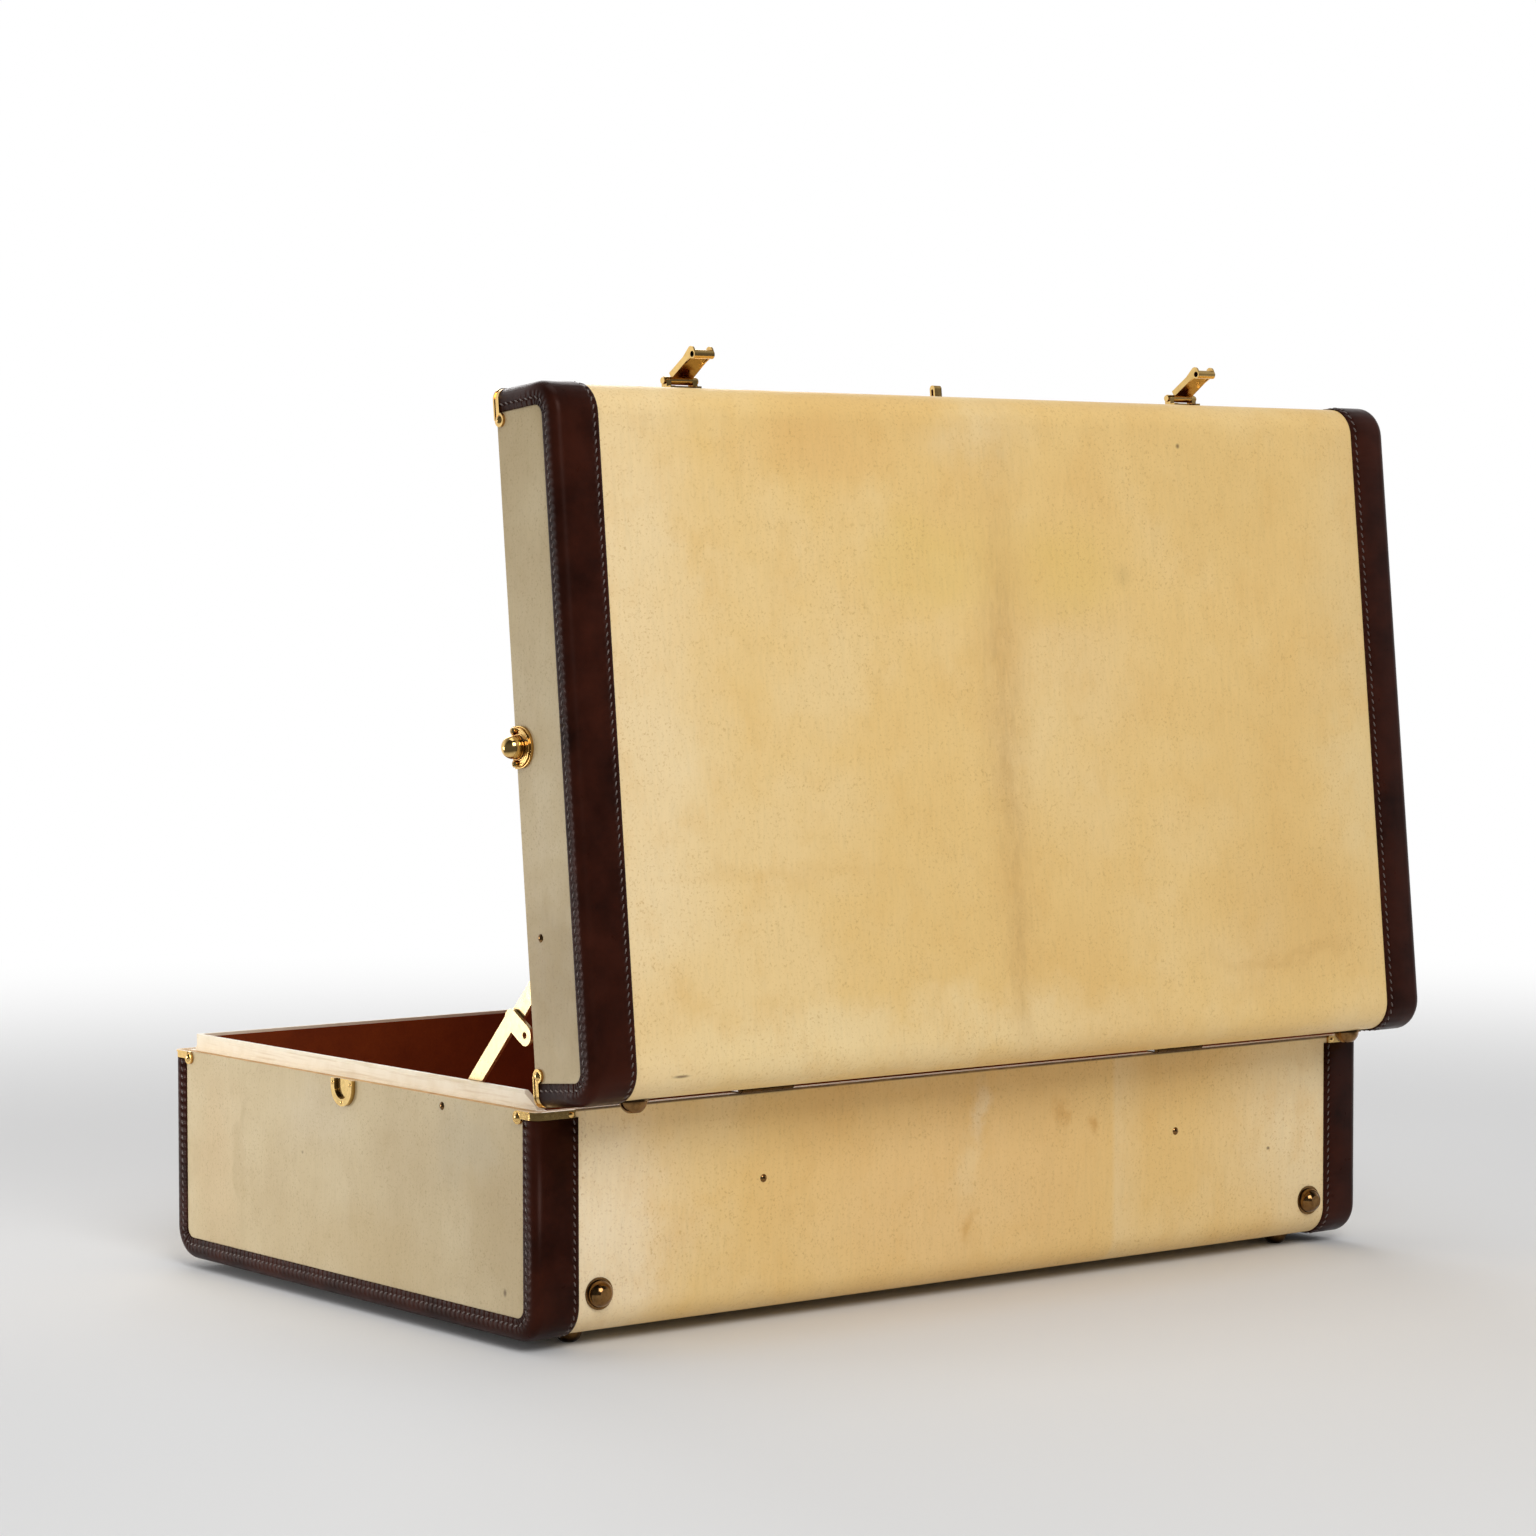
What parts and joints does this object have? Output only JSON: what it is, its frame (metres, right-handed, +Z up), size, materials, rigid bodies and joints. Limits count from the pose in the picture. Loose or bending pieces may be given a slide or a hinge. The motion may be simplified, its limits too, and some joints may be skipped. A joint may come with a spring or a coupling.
{
  "type": "suitcase",
  "caption": "Hard parchment-covered suitcase with leather-bound ends, metal corners, feet, folding lid stays, end catches, front latches and a swinging handle, standing open.",
  "frame": {"origin": "middle of the open case's floor plan, at the soles of the bottom feet", "axes": "+X to the right along the case's length and the lid's hinge, +Y to the hinge side at the back, +Z up"},
  "size_m": [0.7272, 0.509, 0.6117],
  "materials": {
    "parchment": "satin",
    "end_parchment": "matte",
    "binding_leather": "polished",
    "grip_leather": "polished",
    "brass": "polished",
    "foot_brass": "aged",
    "hinge_brass": "aged",
    "stay_brass": "satin",
    "lining": "matte",
    "frame_skin": "satin",
    "board": "matte"
  },
  "bodies": {
    "base": {"base_board": "board", "base_end_boards": "board", "base_covering": "parchment", "base_end_coverings": "end_parchment", "base_binding_right": "binding_leather", "base_binding_left": "binding_leather", "base_lining": "lining", "rim_frame": "frame_skin", "base_corner_clips": "brass", "bottom_feet": "foot_brass", "base_rear_feet": "foot_brass", "base_rivets": "brass", "hinge_base_leaves": "hinge_brass", "hinge_pins": "hinge_brass", "stay_base_studs": "brass", "catch_cups": "brass", "cup_screws": "brass", "latch_bodies": "brass", "centre_hasp_plate": "brass", "centre_hasp_pin": "brass", "handle_brackets": "brass", "handle_pins": "brass"},
    "lid": {"lid_board": "board", "lid_end_boards": "board", "lid_covering": "parchment", "lid_end_coverings": "end_parchment", "lid_binding_right": "binding_leather", "lid_binding_left": "binding_leather", "lid_lining": "lining", "lid_corner_clips": "brass", "lid_rear_feet": "foot_brass", "lid_rivets": "brass", "hinge_lid_leaves": "hinge_brass", "stay_lid_studs": "brass", "catch_plates": "brass", "catch_plate_screws": "brass", "latch_plates": "brass", "hasp_pins": "brass", "lock_staple": "brass"},
    "handle": {"handle_grip": "grip_leather", "handle_ends": "brass"},
    "centre_hasp": {"centre_hasp": "brass"},
    "stay_lower_right": {"stay_lower_right": "stay_brass"},
    "stay_lower_left": {"stay_lower_left": "stay_brass"},
    "stay_upper_right": {"stay_upper_right": "stay_brass", "elbow_rivet_right": "brass"},
    "stay_upper_left": {"stay_upper_left": "stay_brass", "elbow_rivet_left": "brass"},
    "catch_knob_right": {"catch_knob_right": "brass"},
    "catch_knob_left": {"catch_knob_left": "brass"},
    "hasp_right": {"hasp_right": "brass"},
    "hasp_left": {"hasp_left": "brass"},
    "latch_button_right": {"latch_button_right": "brass"},
    "latch_button_left": {"latch_button_left": "brass"}
  },
  "joints": [
    {"name": "lid_hinge", "type": "hinge", "parent": "base", "child": "lid", "pos_m": [0, 0.19539, 0.15], "axis": [1, 0, 0], "range_deg": [0, 84.5]},
    {"name": "handle_swing", "type": "hinge", "parent": "base", "child": "handle", "pos_m": [0, -0.24641, 0.094], "axis": [-1, 0, 0], "range_deg": [0, 120]},
    {"name": "centre_hasp_swing", "type": "hinge", "parent": "base", "child": "centre_hasp", "pos_m": [0.008, -0.24161, 0.136], "axis": [-1, 0, 0], "range_deg": [0, 180]},
    {"name": "stay_lower_right_turn", "type": "hinge", "parent": "base", "child": "stay_lower_right", "pos_m": [0.33485, 0.09058, 0.142], "axis": [-1, 0, 0], "range_deg": [0, 31.14]},
    {"name": "stay_upper_right_turn", "type": "hinge", "parent": "lid", "child": "stay_upper_right", "pos_m": [0.33195, 0.19867, 0.25359], "axis": [1, 0, 0], "range_deg": [0, 48.99]},
    {"name": "catch_slide_right", "type": "slide", "parent": "lid", "child": "catch_knob_right", "axis": [0, -0.9954, -0.0958], "range_m": [0, 0.0115]},
    {"name": "hasp_swing_right", "type": "hinge", "parent": "lid", "child": "hasp_right", "pos_m": [0.214, 0.15593, 0.59105], "axis": [1, 0, 0], "range_deg": [0, 151.5]},
    {"name": "button_slide_right", "type": "slide", "parent": "base", "child": "latch_button_right", "axis": [1, 0, 0], "range_m": [0, 0.005], "stiffness_N_per_m": 200, "springref_m": -0.002},
    {"name": "stay_lower_left_turn", "type": "hinge", "parent": "base", "child": "stay_lower_left", "pos_m": [-0.33485, 0.09058, 0.142], "axis": [-1, 0, 0], "range_deg": [0, 31.14]},
    {"name": "stay_upper_left_turn", "type": "hinge", "parent": "lid", "child": "stay_upper_left", "pos_m": [-0.33195, 0.19867, 0.25359], "axis": [1, 0, 0], "range_deg": [0, 48.99]},
    {"name": "catch_slide_left", "type": "slide", "parent": "lid", "child": "catch_knob_left", "axis": [0, -0.9954, -0.0958], "range_m": [0, 0.0115]},
    {"name": "hasp_swing_left", "type": "hinge", "parent": "lid", "child": "hasp_left", "pos_m": [-0.214, 0.15593, 0.59105], "axis": [1, 0, 0], "range_deg": [0, 151.5]},
    {"name": "button_slide_left", "type": "slide", "parent": "base", "child": "latch_button_left", "axis": [1, 0, 0], "range_m": [0, 0.005], "stiffness_N_per_m": 200, "springref_m": -0.002}
  ],
  "couplings": [
    {"joint": "stay_lower_right_turn", "follows": "lid_hinge", "ratio": 0.36841},
    {"joint": "stay_upper_right_turn", "follows": "lid_hinge", "ratio": 0.57974},
    {"joint": "stay_lower_left_turn", "follows": "lid_hinge", "ratio": 0.36841},
    {"joint": "stay_upper_left_turn", "follows": "lid_hinge", "ratio": 0.57974}
  ]
}
